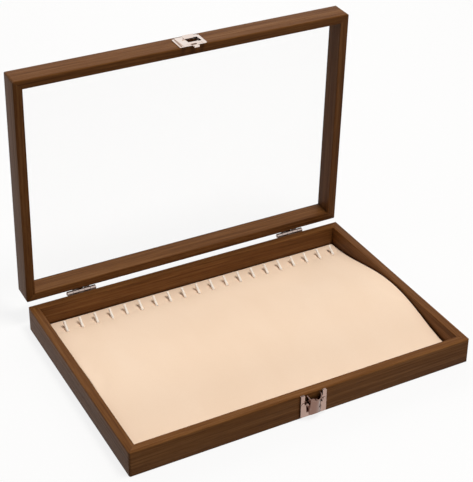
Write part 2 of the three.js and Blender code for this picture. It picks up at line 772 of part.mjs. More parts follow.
// Tray
function buildTray() {
  const tray = new THREE.Group();
  const rails = mitredFrame(trayProfile(), trayHeight);
  for (const hingeX of Object.values(hingePlaces)) {
    for (const x of [hingeX - hingeScrewSpacing / 2, hingeX + hingeScrewSpacing / 2]) {
      rails.back = rails.back.subtract(screwBore(x, depth / 2, hingeZ - hingeScrewReach, -1));
    }
  }
  for (const x of [latchShift - latchScrewSpacing / 2, latchShift + latchScrewSpacing / 2]) {
    rails.front = rails.front.subtract(screwBore(x, -depth / 2, latchScrewHeight, 1));
  }
  for (const [side, rail] of Object.entries(rails)) tray.add(piece('tray_' + side + '_rail', surface(rail), 'wood'));

  const panelInset = wall - panelRebate + panelFit;
  const panel = prism(roundedRectangle(width - 2 * panelInset, depth - 2 * panelInset, 1), panelThickness);
  tray.add(piece('bottom_panel', panel, 'panel'));
  const boardSize = [2 * (innerHalfWidth - boardFit), 2 * (innerHalfDepth - boardFit)];
  const board = piece('pad_board', prism(roundedRectangle(...boardSize, 2), boardThickness), 'board');
  board.position.z = panelThickness;
  tray.add(board);
  tray.add(piece('display_pad', displayPad(), 'velvet'));

  const peg = hookPeg();
  hookPlaces().forEach((x, i) => {
    const hook = piece('hook_' + String(i + 1).padStart(2, '0'), peg, 'hook');
    hook.position.set(x, hookY, hookZ);
    hook.rotation.x = Math.PI / 2 - hookLean;
    tray.add(hook);
  });
  return tray;
}

// Lid, drawn shut on the tray
function buildLid() {
  const lid = new THREE.Group();
  const rails = mitredFrame(lidProfile(), lidHeight);
  for (const hingeX of Object.values(hingePlaces)) {
    for (const x of [hingeX - hingeScrewSpacing / 2, hingeX + hingeScrewSpacing / 2]) {
      rails.back = rails.back.subtract(screwBore(x, depth / 2, hingeZ + hingeScrewReach - lidRim, -1));
    }
  }
  for (const x of strikeScrewPlaces()) {
    rails.front = rails.front.subtract(screwBore(latchShift + x, -depth / 2, strikeScrewFromRim, 1));
  }
  const pocket = roundedRectangle(...strikePocket, latchCorner / 2);
  const pocketPlace = [latchShift + strikeWindowShift, strikeWindowTop - strikePocket[1] / 2];
  const pocketFace = strikePocketDepth - depth / 2;
  rails.front = rails.front.subtract(frontPrism(pocket, strikePocketDepth + 1, pocketFace, ...pocketPlace));
  for (const [side, rail] of Object.entries(rails)) {
    const mesh = piece('lid_' + side + '_rail', surface(rail), 'wood');
    mesh.position.z = lidRim;
    lid.add(mesh);
  }
  const glassInset = wall - glassRebate + glassFit;
  const pane = prism(roundedRectangle(width - 2 * glassInset, depth - 2 * glassInset, 1), glassThickness);
  const glass = piece('glass_pane', pane, 'glass');
  glass.position.z = lidRim + lidHeight - glassRecess - glassThickness + seatGap;
  lid.add(glass);

  const strike = piece('strike_plate', strikePlate(), 'chrome');
  strike.position.set(latchShift, -depth / 2 - seatGap, lidRim);
  lid.add(strike);
  strikeScrewPlaces().forEach((x, i) => {
    const y = -depth / 2 - strikeBase - 2 * seatGap;
    lid.add(screw('strike_screw_' + (i + 1), latchShift + x, y, lidRim + strikeScrewFromRim, -1));
  });
  return lid;
}

function addHinges(tray, lid) {
  for (const [side, x] of Object.entries(hingePlaces)) {
    const lower = piece(side + '_hinge_lower_leaf', hingeLeaf(-1), 'chrome');
    const pin = piece(side + '_hinge_pin', hingePin(), 'chrome');
    const upper = piece(side + '_hinge_upper_leaf', hingeLeaf(1), 'chrome');
    for (const mesh of [lower, pin, upper]) mesh.position.set(x, hingeY, hingeZ);
    pin.rotation.z = Math.PI / 2;
    tray.add(lower, pin);
    lid.add(upper);
    [-hingeScrewSpacing / 2, hingeScrewSpacing / 2].forEach((shift, i) => {
      const y = depth / 2 + leafThickness + 2 * seatGap;
      tray.add(screw(side + '_hinge_lower_screw_' + (i + 1), x + shift, y, hingeZ - hingeScrewReach, 1));
      lid.add(screw(side + '_hinge_upper_screw_' + (i + 1), x + shift, y, hingeZ + hingeScrewReach, 1));
    });
  }
}

function buildLatch() {
  const latch = new THREE.Group();
  latch.position.set(latchShift, -depth / 2 - seatGap, 0);
  latch.add(piece('latch_base_plate', latchBasePlate(), 'chrome'));
  latch.add(piece('press_button', pressButton(), 'chrome'));
  const pin = piece('latch_pin', latchPin(), 'steel');
  pin.position.set(0, pinY, pinHeight);
  pin.rotation.z = Math.PI / 2;
  latch.add(pin);
  latch.add(piece('latch_spring', latchSpring(), 'steel'));
  [-latchScrewSpacing / 2, latchScrewSpacing / 2].forEach((x, i) => {
    latch.add(screw('latch_screw_' + (i + 1), x, -latchRise - seatGap, latchScrewHeight, -1));
  });
  return latch;
}

const tray = buildTray();
const lid = buildLid();
addHinges(tray, lid);

const lidPivot = new THREE.Group();
lidPivot.position.set(0, hingeY, hingeZ);
lidPivot.rotation.x = -degrees(lidOpenDegrees);
lid.position.set(0, -hingeY, -hingeZ);
lidPivot.add(lid);

const necklaceCase = new THREE.Group();
necklaceCase.add(tray, buildLatch(), lidPivot);

export default necklaceCase;
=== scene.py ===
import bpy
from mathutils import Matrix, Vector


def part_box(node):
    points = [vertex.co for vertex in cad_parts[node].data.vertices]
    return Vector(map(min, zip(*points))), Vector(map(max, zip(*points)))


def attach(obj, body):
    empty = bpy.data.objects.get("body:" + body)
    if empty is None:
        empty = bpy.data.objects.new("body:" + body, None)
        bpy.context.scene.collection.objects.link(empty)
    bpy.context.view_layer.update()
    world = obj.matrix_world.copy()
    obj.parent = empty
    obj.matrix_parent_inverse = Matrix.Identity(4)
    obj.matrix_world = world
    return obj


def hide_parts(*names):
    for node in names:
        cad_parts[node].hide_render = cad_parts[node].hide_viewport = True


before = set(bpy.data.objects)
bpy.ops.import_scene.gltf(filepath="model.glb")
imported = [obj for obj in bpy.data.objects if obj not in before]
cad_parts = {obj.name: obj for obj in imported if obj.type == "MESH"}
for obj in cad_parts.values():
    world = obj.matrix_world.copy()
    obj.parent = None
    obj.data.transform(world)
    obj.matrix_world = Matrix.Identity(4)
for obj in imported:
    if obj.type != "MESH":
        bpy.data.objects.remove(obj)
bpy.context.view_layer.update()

import math

import bmesh
import bpy
from mathutils import Matrix, Vector

MM = 0.001
WHITE = (1, 1, 1)

# Camera, at the photograph's viewing angle. Its pixels are the photograph's.
IMAGE_HEIGHT = 482
FOCAL_PIXELS = 1350.8
AXIS_PIXELS_ABOVE_MIDDLE = 84.8
CAMERA_PLACE = Vector((-0.5093, -0.9290, 0.7788))
CAMERA_HEADING = math.radians(28.19)
CAMERA_DROP = math.radians(28.38)
CAMERA_ROLL = math.radians(0.52)
SENSOR_HEIGHT = 36
VIEW_DEPTH = 20


def add_camera():
    data = bpy.data.cameras.new("camera")
    data.sensor_fit = "VERTICAL"
    data.sensor_height = SENSOR_HEIGHT
    data.lens = FOCAL_PIXELS / IMAGE_HEIGHT * SENSOR_HEIGHT
    data.shift_y = -AXIS_PIXELS_ABOVE_MIDDLE / IMAGE_HEIGHT
    data.clip_end = VIEW_DEPTH
    camera = bpy.data.objects.new("camera", data)
    bpy.context.collection.objects.link(camera)
    turn = Matrix.Rotation(-CAMERA_HEADING, 4, "Z")
    tilt = Matrix.Rotation(math.pi / 2 - CAMERA_DROP, 4, "X")
    roll = Matrix.Rotation(CAMERA_ROLL, 4, "Z")
    camera.matrix_world = Matrix.Translation(CAMERA_PLACE) @ turn @ tilt @ roll
    bpy.context.scene.camera = camera


# Materials

BEVEL_SAMPLES = 4
CAVITY_SAMPLES = 8
EDGE_COSINE = 0.8

# Most of a noise lies between these two values
NOISE_LOW = 0.3
NOISE_HIGH = 0.7


class Nodes:
    """A material's node tree, with short calls for the nodes that the finishes use."""

    def __init__(self, name):
        self.material = bpy.data.materials.new(name)
        self.material.use_nodes = True
        self.tree = self.material.node_tree
        self.shader = self.tree.nodes["Principled BSDF"]

    def add(self, kind, **settings):
        node = self.tree.nodes.new(kind)
        for key, value in settings.items():
            setattr(node, key, value)
        return node

    def feed(self, socket, value):
        """Sets a socket to a number or a colour, or links an output to it."""
        if isinstance(value, (float, int)):
            socket.default_value = value
        elif isinstance(value, tuple):
            socket.default_value = (*value, 1)
        else:
            self.tree.links.new(value, socket)

    def plug(self, name, value):
        """Feeds a socket of the surface shader."""
        self.feed(self.shader.inputs[name], value)

    def coordinates(self, turn=(0, 0, 0), stretch=(1, 1, 1), shift=(0, 0, 0)):
        """Object coordinates, turned, stretched and shifted."""
        place = self.add("ShaderNodeTexCoord")
        turned = self.add("ShaderNodeMapping")
        turned.inputs["Rotation"].default_value = turn
        self.feed(turned.inputs["Vector"], place.outputs["Object"])
        scaled = self.add("ShaderNodeMapping")
        scaled.inputs["Location"].default_value = shift
        scaled.inputs["Scale"].default_value = stretch
        self.feed(scaled.inputs["Vector"], turned.outputs["Vector"])
        return scaled.outputs["Vector"]

    def noise(self, vector, scale=1.0, detail=2.0, roughness=0.5, distortion=0.0):
        node = self.add("ShaderNodeTexNoise")
        self.feed(node.inputs["Scale"], scale)
        self.feed(node.inputs["Detail"], detail)
        self.feed(node.inputs["Roughness"], roughness)
        self.feed(node.inputs["Distortion"], distortion)
        self.feed(node.inputs["Vector"], vector)
        return node.outputs["Fac"]

    def ramp(self, value, stops):
        """A colour ramp from (place, colour) stops."""
        node = self.add("ShaderNodeValToRGB")
        elements = node.color_ramp.elements
        while len(elements) < len(stops):
            elements.new(0.5)
        for element, (place, colour) in zip(elements, stops):
            element.position = place
            element.color = (*colour, 1)
        self.feed(node.inputs["Fac"], value)
        return node.outputs["Color"]

    def tones(self, noise, *colours):
        """A ramp with its colours evenly from a noise's low values to its high ones."""
        step = (NOISE_HIGH - NOISE_LOW) / (len(colours) - 1)
        return self.ramp(noise, [(NOISE_LOW + i * step, c) for i, c in enumerate(colours)])

    def level(self, value, low, high, out_low=0.0, out_high=1.0):
        """value from low..high to out_low..out_high, clamped."""
        node = self.add("ShaderNodeMapRange")
        self.feed(node.inputs["From Min"], low)
        self.feed(node.inputs["From Max"], high)
        self.feed(node.inputs["To Min"], out_low)
        self.feed(node.inputs["To Max"], out_high)
        self.feed(node.inputs["Value"], value)
        return node.outputs["Result"]

    def vary(self, noise, first, last):
        """A number that goes from first to last as a noise goes from low to high."""
        return self.level(noise, NOISE_LOW, NOISE_HIGH, first, last)

    def mix(self, kind, factor, first, second):
        node = self.add("ShaderNodeMix", data_type="RGBA", blend_type=kind)
        sockets = {socket.name: socket for socket in node.inputs if socket.enabled}
        for name, value in (("Factor", factor), ("A", first), ("B", second)):
            self.feed(sockets[name], value)
        return next(socket for socket in node.outputs if socket.enabled)

    def math(self, operation, first, second):
        node = self.add("ShaderNodeMath", operation=operation)
        for socket, value in zip(node.inputs, (first, second)):
            self.feed(socket, value)
        return node.outputs["Value"]

    def bump(self, height, distance, strength=1.0, after=None):
        """A normal bumped by height, on top of another normal if one is given."""
        node = self.add("ShaderNodeBump")
        self.feed(node.inputs["Strength"], strength)
        self.feed(node.inputs["Distance"], distance)
        self.feed(node.inputs["Height"], height)
        if after is not None:
            self.feed(node.inputs["Normal"], after)
        return node.outputs["Normal"]

    def rounded(self, radius):
        """A normal that rounds sharp edges."""
        bevel = self.add("ShaderNodeBevel", samples=BEVEL_SAMPLES)
        self.feed(bevel.inputs["Radius"], radius)
        return bevel.outputs["Normal"]

    def edges(self, radius):
        """0 on flat faces and up to 1 on edges, from how far a rounded normal leans."""
        lean = self.add("ShaderNodeVectorMath", operation="DOT_PRODUCT")
        geometry = self.add("ShaderNodeNewGeometry")
        self.feed(lean.inputs[0], self.rounded(radius))
        self.feed(lean.inputs[1], geometry.outputs["True Normal"])
        return self.level(lean.outputs["Value"], 1.0, EDGE_COSINE)

    def paint_corner_shade(self, colour, reach, stops):
        """Paints shade into a colour: darker by stops that go from corners and overhangs to
        the open.
        """
        openness = self.add("ShaderNodeAmbientOcclusion", samples=CAVITY_SAMPLES)
        self.feed(openness.inputs["Distance"], reach)
        shade = self.ramp(openness.outputs["AO"], stops)
        return self.mix("MULTIPLY", 1.0, colour, shade)


def srgb(red, green, blue):
    """A linear colour from 0..255 screen values."""

    def linear(value):
        value /= 255
        return value / 12.92 if value <= 0.04045 else ((value + 0.055) / 1.055) ** 2.4

    return (linear(red), linear(green), linear(blue))


# Walnut. Its noises are stretched along the grain, which is their first axis.
WALNUT_COLOURS = (srgb(80, 46, 18), srgb(111, 70, 34), srgb(141, 97, 57))
WALNUT_STOPS = (0.36, 0.5, 0.66)
# Per-rail darkening: partly each board's own tone, partly painted shade that sets how dark
# each rail looks under the lamps.
LID_STAIN_AND_SHADE = 0.82
TRAY_STAIN_AND_SHADE = {"front": 0.95, "back": 0.92, "left": 0.92, "right": 0.98}
LID_OPEN = math.radians(88)
GRAIN_TURN = {
    "x": (0, 0, 0),
    "y": (0, 0, math.pi / 2),
    "open_lid": (LID_OPEN, 0, math.pi / 2),
}
SEED_SHIFT = (3.7, 1.9, 2.3)
LID_SEEDS_AFTER = 10
FIGURE_STRETCH = (2.5, 70, 70)
STREAK_STRETCH = (9, 560, 560)
PORE_STRETCH = (70, 2400, 2400)
STREAK_SHARE = 0.6
PORE_EDGE = (0.36, 0.46)
PORE_SHADE = (0.45, 0.4, 0.36)
PORE_STRENGTH = 0.45
STREAK_HEIGHT = 0.6
PORE_HEIGHT = 0.4
GRAIN_DEPTH = 0.1 * MM
GRAIN_STRENGTH = 0.7
WOOD_WEAR_RADIUS = 0.9 * MM
WOOD_WEAR_STREAKS = (0.35, 0.6)
WOOD_WEAR = 0.3
# Painted shade: the wood darkens in corners, recesses and under overhangs, by these stops.
WOOD_CORNER_SHADE_REACH = 5 * MM
WOOD_CORNER_SHADE = [(0.25, (0.25, 0.2, 0.17)), (0.75, WHITE)]
WOOD_GLOSS = 0.1
WOOD_EDGE = 0.6 * MM


def walnut(name, along, seed, stain_and_shade):
    """Brown open-grained wood with its grain along one axis; a lower stain_and_shade
    darkens it, partly as the board's own stain and partly as painted shade.
    """
    nodes = Nodes(name)
    shift = tuple(seed * step for step in SEED_SHIFT)

    def grain(stretch, **settings):
        return nodes.noise(nodes.coordinates(GRAIN_TURN[along], stretch, shift), **settings)

    figure = grain(FIGURE_STRETCH, detail=3, distortion=0.5)
    streaks = grain(STREAK_STRETCH, detail=6, roughness=0.7, distortion=0.15)
    between_pores = nodes.level(grain(PORE_STRETCH), *PORE_EDGE)

    # the rail's colours, darkened by its stain and by painted shade
    stained = [tuple(stain_and_shade * part for part in colour) for colour in WALNUT_COLOURS]
    tone = nodes.mix("MIX", STREAK_SHARE, figure, streaks)
    colour = nodes.ramp(tone, list(zip(WALNUT_STOPS, stained)))
    pore_shade = nodes.ramp(between_pores, [(0, PORE_SHADE), (1, WHITE)])
    colour = nodes.mix("MULTIPLY", PORE_STRENGTH, colour, pore_shade)
    rubbed = nodes.level(streaks, *WOOD_WEAR_STREAKS)
    wear = nodes.math("MULTIPLY", nodes.edges(WOOD_WEAR_RADIUS), rubbed)
    wear = nodes.math("MULTIPLY", wear, WOOD_WEAR)
    colour = nodes.mix("MIX", wear, colour, stained[-1])
    # painted shade darkens the colour in corners and recesses
    nodes.plug("Base Color", nodes.paint_corner_shade(colour, WOOD_CORNER_SHADE_REACH, WOOD_CORNER_SHADE))
    nodes.plug("Roughness", nodes.vary(streaks, 0.58, 0.44))
    nodes.plug("Specular IOR Level", WOOD_GLOSS)

    streak_height = nodes.math("MULTIPLY", streaks, STREAK_HEIGHT)
    pore_height = nodes.math("MULTIPLY", between_pores, PORE_HEIGHT)
    height = nodes.math("ADD", streak_height, pore_height)
    normal = nodes.bump(height, GRAIN_DEPTH, GRAIN_STRENGTH, nodes.rounded(WOOD_EDGE))
    nodes.plug("Normal", normal)
    return nodes.material


def bottom_board(name):
    """The thin board that closes the tray from below, stained like the rails."""
    nodes = Nodes(name)
    fibre = nodes.noise(nodes.coordinates(stretch=(25, 500, 500)), detail=4, roughness=0.6)
    nodes.plug("Base Color", nodes.tones(fibre, srgb(64, 42, 27), srgb(110, 78, 54)))
    nodes.plug("Roughness", nodes.vary(fibre, 0.75, 0.6))
    nodes.plug("Specular IOR Level", WOOD_GLOSS)
    nodes.plug("Normal", nodes.bump(fibre, distance=0.08 * MM))
    return nodes.material


def backing_board(name):
    """Grey-brown pressed board under the pad."""
    nodes = Nodes(name)
    fleck = nodes.noise(nodes.coordinates(), scale=900, detail=3, roughness=0.6)
    nodes.plug("Base Color", nodes.tones(fleck, srgb(120, 96, 70), srgb(172, 146, 114)))
    nodes.plug("Roughness", nodes.vary(fleck, 0.9, 0.75))
    nodes.plug("Normal", nodes.bump(fleck, distance=0.05 * MM))
    return nodes.material


VELVET_COLOURS = (srgb(243, 216, 190), srgb(247, 221, 196), srgb(250, 226, 203))
VELVET_SHEEN = srgb(255, 232, 206)
BRUSHED_SHARE = 0.4


def velvet(name):
    """Cream short-pile velvet with brushed patches."""
    nodes = Nodes(name)
    pile = nodes.noise(nodes.coordinates(), scale=2600, roughness=0.6)
    patches = nodes.coordinates(stretch=(22, 9, 22))
    brushed = nodes.noise(patches, detail=3, roughness=0.55, distortion=0.4)
    tone = nodes.mix("MIX", BRUSHED_SHARE, pile, brushed)
    nodes.plug("Base Color", nodes.tones(tone, *VELVET_COLOURS))
    nodes.plug("Roughness", nodes.vary(brushed, 0.95, 0.8))
    nodes.plug("Specular IOR Level", 0.15)
    nodes.plug("Sheen Weight", 0.25)
    nodes.plug("Sheen Roughness", 0.5)
    nodes.plug("Sheen Tint", VELVET_SHEEN)
    nodes.plug("Normal", nodes.bump(pile, distance=0.08 * MM, strength=0.6))
    return nodes.material


def hook_plastic(name):
    """Cream moulded plastic, slightly satin."""
    nodes = Nodes(name)
    mottle = nodes.noise(nodes.coordinates(), scale=700)
    nodes.plug("Base Color", nodes.tones(mottle, srgb(253, 240, 226), srgb(255, 248, 240)))
    nodes.plug("Roughness", nodes.vary(mottle, 0.34, 0.24))
    nodes.plug("Normal", nodes.bump(mottle, distance=0.02 * MM))
    return nodes.material


GLASS_COLOUR = (0.9, 0.95, 0.93)
GLASS_COVER = 0.015


def glass(name):
    """Clear float glass with a very slight ripple."""
    nodes = Nodes(name)
    ripple = nodes.noise(nodes.coordinates(), scale=6, detail=1, roughness=0.4)
    nodes.plug("Base Color", GLASS_COLOUR)
    nodes.plug("Alpha", GLASS_COVER)
    nodes.plug("Roughness", nodes.vary(ripple, 0.01, 0.02))
    nodes.plug("Normal", nodes.bump(ripple, distance=0.02 * MM, strength=0.2))
    return nodes.material


# Metal
STRIKE_CHROME = srgb(240, 224, 214)
# Painted reflection: the button's chrome is darkened to brown, standing in for the dark
# surroundings it mirrors.
BUTTON_CHROME_PAINTED_DARK = srgb(138, 107, 95)
# Nickel's own warm tint, darkened further as a painted reflection of dark surroundings.
LATCH_NICKEL_PAINTED_DARKER = srgb(180, 152, 140)
HINGE_STEEL = srgb(190, 174, 166)
RUBBED_METAL = (0.97, 0.95, 0.92)
SMEAR_SHADE = 0.93
METAL_WEAR_RADIUS = 0.25 * MM
METAL_WEAR = 0.25
METAL_WEAR_ROUGHNESS = 0.06
# Painted shade: metal darkens in corners and beside raised parts, by these stops.
METAL_CORNER_SHADE_REACH = 2.5 * MM
METAL_CORNER_SHADE = [(0.3, (0.2, 0.15, 0.12)), (0.8, WHITE)]
METAL_EDGE = 0.22 * MM
WIPE_DEPTH = 0.004 * MM
WIPE_STRENGTH = 0.5
BUTTON_CROWN_RADIUS = 9 * MM
BUTTON_MIDDLE = 3.4 * MM


def bright_metal(name, colour, smooth, rough, crown_radius=None):
    """Polished plated metal with faint wiping marks and rubbed edges.

    Its roughness goes from smooth to rough in smears. A crown radius shades the press
    button's flat face as if it were rounded across x.
    """
    nodes = Nodes(name)
    wipes = nodes.noise(nodes.coordinates(), scale=900, detail=3, roughness=0.6)
    smears = nodes.noise(nodes.coordinates(), scale=90, detail=3, roughness=0.6)
    edges = nodes.edges(METAL_WEAR_RADIUS)

    tint = nodes.tones(smears, tuple(part * SMEAR_SHADE for part in colour), colour)
    # painted shade darkens the tint in corners and under overhangs
    tint = nodes.paint_corner_shade(tint, METAL_CORNER_SHADE_REACH, METAL_CORNER_SHADE)
    rubbed = nodes.math("MULTIPLY", edges, METAL_WEAR)
    nodes.plug("Base Color", nodes.mix("MIX", rubbed, tint, RUBBED_METAL))
    nodes.plug("Metallic", 1.0)
    dulled = nodes.math("MULTIPLY", edges, METAL_WEAR_ROUGHNESS)
    nodes.plug("Roughness", nodes.math("ADD", nodes.vary(smears, smooth, rough), dulled))

    normal = nodes.bump(wipes, WIPE_DEPTH, WIPE_STRENGTH, nodes.rounded(METAL_EDGE))
    if crown_radius:
        split = nodes.add("ShaderNodeSeparateXYZ")
        from_middle = nodes.coordinates(shift=(-BUTTON_MIDDLE, 0, 0))
        nodes.feed(split.inputs["Vector"], from_middle)
        square = nodes.math("MULTIPLY", split.outputs["X"], split.outputs["X"])
        arch = nodes.math("MULTIPLY", square, -1 / (2 * crown_radius))
        normal = nodes.bump(arch, distance=1.0, after=normal)
    nodes.plug("Normal", normal)
    return nodes.material


# Finishes of the CAD nodes. Corners within SAME_PLACE count as one, and OWN_SHARE keeps
# a corner's normal where all its faces are slivers.
SOFT_COSINE = math.cos(math.radians(38))
SAME_PLACE = 0.001 * MM
OWN_SHARE = 1e-3


def shade_smooth(mesh):
    for face in mesh.polygons:
        face.use_smooth = True


def soften(mesh):
    """Shades faces that meet at a small angle as one round surface.

    A corner's normal is the mean of the face normals that meet there, each by its face's
    corner angle, without those that lean too far from its own.
    """
    shade_smooth(mesh)
    meetings = {}
    for face in mesh.polygons:
        places = [mesh.vertices[index].co for index in face.vertices]
        for k, loop in enumerate(face.loop_indices):
            before = places[k - 1] - places[k]
            after = places[(k + 1) % len(places)] - places[k]
            key = tuple(round(value / SAME_PLACE) for value in places[k])
            corner = (loop, face.normal.copy(), before.angle(after, 0))
            meetings.setdefault(key, []).append(corner)
    normals = [None] * len(mesh.loops)
    for meeting in meetings.values():
        for loop, normal, _ in meeting:
            near = [n * share for _, n, share in meeting if normal.dot(n) > SOFT_COSINE]
            normals[loop] = sum(near, normal * OWN_SHARE).normalized()
    mesh.normals_split_custom_set(normals)


def dress(node, material):
    """Gives a CAD node its finish and smooth shading across its soft edges."""
    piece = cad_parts[node]
    piece.data.materials.clear()
    piece.data.materials.append(material)
    soften(piece.data)


def dress_frame_nodes():
    rails = (("front", "x"), ("back", "x"), ("left", "y"), ("right", "y"))
    for number, (side, along) in enumerate(rails, start=1):
        tray_wood = walnut(f"walnut_tray_{side}", along, number, TRAY_STAIN_AND_SHADE[side])
        dress(f"tray_{side}_rail", tray_wood)
        lid_along = "x" if along == "x" else "open_lid"
        lid_seed = LID_SEEDS_AFTER + number
        lid_wood = walnut(f"walnut_lid_{side}", lid_along, lid_seed, LID_STAIN_AND_SHADE)
        dress(f"lid_{side}_rail", lid_wood)
    dress("bottom_panel", bottom_board("stained_board"))
    dress("pad_board", backing_board("pressed_board"))
    dress("glass_pane", glass("clear_glass"))
    chrome = bright_metal("bright_chrome", STRIKE_CHROME, smooth=0.06, rough=0.12)
    nickel = bright_metal("latch_nickel_painted_darker", LATCH_NICKEL_PAINTED_DARKER, smooth=0.08, rough=0.16)
    steel = bright_metal("plated_steel", HINGE_STEEL, smooth=0.14, rough=0.24)
    crowned = bright_metal(
        "crowned_chrome_painted_dark",
        BUTTON_CHROME_PAINTED_DARK,
        smooth=0.06,
        rough=0.12,
        crown_radius=BUTTON_CROWN_RADIUS,
    )
    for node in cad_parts:
        if "hinge" in node or node == "latch_spring":
            dress(node, steel)
        elif node.startswith("latch"):
            dress(node, nickel)
        elif node.startswith("strike"):
            dress(node, chrome)
    dress("press_button", crowned)


# Meshes


def add_mesh(name, form):
    """A new object from a bmesh, which is freed."""
    mesh = bpy.data.meshes.new(name)
    form.to_mesh(mesh)
    form.free()
    piece = bpy.data.objects.new(name, mesh)
    bpy.context.collection.objects.link(piece)
    return piece


def join_rings(form, lower, upper):
    """Closes the band between two closed rings of vertices."""
    for k in range(len(lower)):
        following = (k + 1) % len(lower)
        form.faces.new((lower[k], lower[following], upper[following], upper[k]))


# Hooks: where they stand and how they are shaped, as in the CAD model
HOOK_Y = 90 * MM
HOOK_LEAN = math.radians(56)
HOOK_REACH = 9.8 * MM
HOOK_RADIUS = 1.45 * MM
HOOK_NECK = 1.2 * MM
HOOK_TIP = 1.55 * MM


def middle_x(node):
    low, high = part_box(node)
    return (low.x + high.x) / 2


HOOK_NODES = sorted(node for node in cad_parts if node.startswith("hook_"))
HOOKS = {node: middle_x(node) for node in HOOK_NODES}


def hook_distance(place):
    """How far a place is from the nearest hook's middle, seen from above."""
    return min(math.hypot(place.x - x, place.y - HOOK_Y) for x in HOOKS.values())


# Velvet pad, with the arch of the CAD model
PAD_LOW, PAD_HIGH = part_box("display_pad")
PAD_CREST_Y = -8 * MM
PAD_CREST_Z = 24.3 * MM
PAD_BACK_Z = 7 * MM
PAD_FRONT_Z = 9.5 * MM
PAD_LIFT = 0.05 * MM
PAD_STEP = 3.6 * MM
PAD_SWELL = 0.7 * MM
PAD_EDGE = 0.8 * MM
RIM_ANGLE = math.radians(60)
DIMPLE_DEPTH = 0.5 * MM
DIMPLE_RADIUS = 2.6 * MM
DIMPLE_REACH = 3 * DIMPLE_RADIUS
TOP_FACING = 0.5

# Its cloth is held at the bottom and around each hook
HELD_HEIGHT = 0.5 * MM
HELD_RADIUS = 0.75 * PAD_STEP
SWELL_FRAMES = 20
CLOTH = {
    "quality": 6,
    "mass": 0.2,
    "tension_stiffness": 15,
    "compression_stiffness": 15,
    "shear_stiffness": 5,
    "bending_stiffness": 0.3,
    "use_pressure": True,
    "uniform_pressure_force": 4,
}


def pad_height(y):
    """Height of the pad's arched top at y: a cosine from the crest to each end."""
    if y > PAD_CREST_Y:
        end, span = PAD_BACK_Z, PAD_HIGH.y - PAD_CREST_Y
    else:
        end, span = PAD_FRONT_Z, PAD_CREST_Y - PAD_LOW.y
    wave = 1 + math.cos(math.pi * abs(y - PAD_CREST_Y) / span)
    return end + (PAD_CREST_Z - end) * wave / 2


def spread(low, high, step):
    """Even places from low to high, about step apart."""
    count = max(1, round((high - low) / step))
    return [low + (high - low) * i / count for i in range(count + 1)]


def border(rows):
    """The outer vertices of a grid, anticlockwise from its first corner."""
    front = rows[0]
    right = [row[-1] for row in rows[1:]]
    back = rows[-1][-2::-1]
    left = [row[0] for row in rows[-2:0:-1]]
    return [*front, *right, *back, *left]


def pad_shell(inset):
    """A closed shell of the pad: arched top, upright sides and flat bottom, on one grid."""
    xs = spread(PAD_LOW.x + inset, PAD_HIGH.x - inset, PAD_STEP)
    ys = spread(PAD_LOW.y + inset, PAD_HIGH.y - inset, PAD_STEP)
    form = bmesh.new()
    top = [[form.verts.new((x, y, pad_height(y) - inset)) for x in xs] for y in ys]
    bottom = [[form.verts.new((x, y, PAD_LOW.z + PAD_LIFT)) for x in xs] for y in ys]
    for rows, order in ((top, 1), (bottom, -1)):
        for front, back in zip(rows, rows[1:]):
            for i in range(len(xs) - 1):
                corners = (front[i], front[i + 1], back[i + 1], back[i])
                form.faces.new(corners[::order])
    join_rings(form, border(bottom), border(top))
    form.normal_update()
    return add_mesh("velvet_pad", form)


def swell(pad):
    """Blows the pad up a little as a stuffed cover, by a cloth simulation."""
    held = pad.vertex_groups.new(name="held")
    for vertex in pad.data.vertices:
        at_bottom = vertex.co.z < PAD_LOW.z + HELD_HEIGHT
        if at_bottom or hook_distance(vertex.co) < HELD_RADIUS:
            held.add([vertex.index], 1, "REPLACE")
    cloth = pad.modifiers.new("swell", "CLOTH")
    for name, value in CLOTH.items():
        setattr(cloth.settings, name, value)
    cloth.settings.vertex_group_mass = held.name
    cloth.settings.effector_weights.gravity = 0
    scene = bpy.context.scene
    for number in range(1, SWELL_FRAMES + 1):
        scene.frame_set(number)
    graph = bpy.context.evaluated_depsgraph_get()
    swollen = [vertex.co.copy() for vertex in pad.evaluated_get(graph).data.vertices]
    pad.modifiers.remove(cloth)
    scene.frame_set(1)
    for vertex, place in zip(pad.data.vertices, swollen):
        step = place - vertex.co
        if step.length > PAD_SWELL:
            step *= PAD_SWELL / step.length
        vertex.co = vertex.co + step


def soften_rim(pad):
    """Bevels the top rim, so that the cover folds over in a small round."""
    form = bmesh.new()
    form.from_mesh(pad.data)
    rim = [e for e in form.edges if e.is_manifold and e.calc_face_angle(0) > RIM_ANGLE]
    bmesh.ops.bevel(
        form, geom=rim, offset=PAD_EDGE, segments=2, affect="EDGES", profile=0.5
    )
    form.to_mesh(pad.data)
    form.free()


def refine(pad):
    """Subdivides the pad's mesh once, for good."""
    modifier = pad.modifiers.new("smooth", "SUBSURF")
    modifier.levels = 1
    modifier.render_levels = 1
    graph = bpy.context.evaluated_depsgraph_get()
    mesh = bpy.data.meshes.new_from_object(pad.evaluated_get(graph))
    pad.modifiers.remove(modifier)
    pad.data = mesh
    shade_smooth(mesh)


def dimple(pad):
    """Draws the cover in where each hook comes through it."""
    for vertex in pad.data.vertices:
        if vertex.normal.z < TOP_FACING:
            continue
        distance = hook_distance(vertex.co)
        if distance < DIMPLE_REACH:
            vertex.co.z -= DIMPLE_DEPTH * math.exp(-((distance / DIMPLE_RADIUS) ** 2))


def add_pad():
    pad = pad_shell(PAD_SWELL)
    swell(pad)
    soften_rim(pad)
    refine(pad)
    dimple(pad)
    pad.data.materials.append(velvet("cream_velvet"))
    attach(pad, "tray")
    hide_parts("display_pad")


# Pegs in place of the CAD hooks

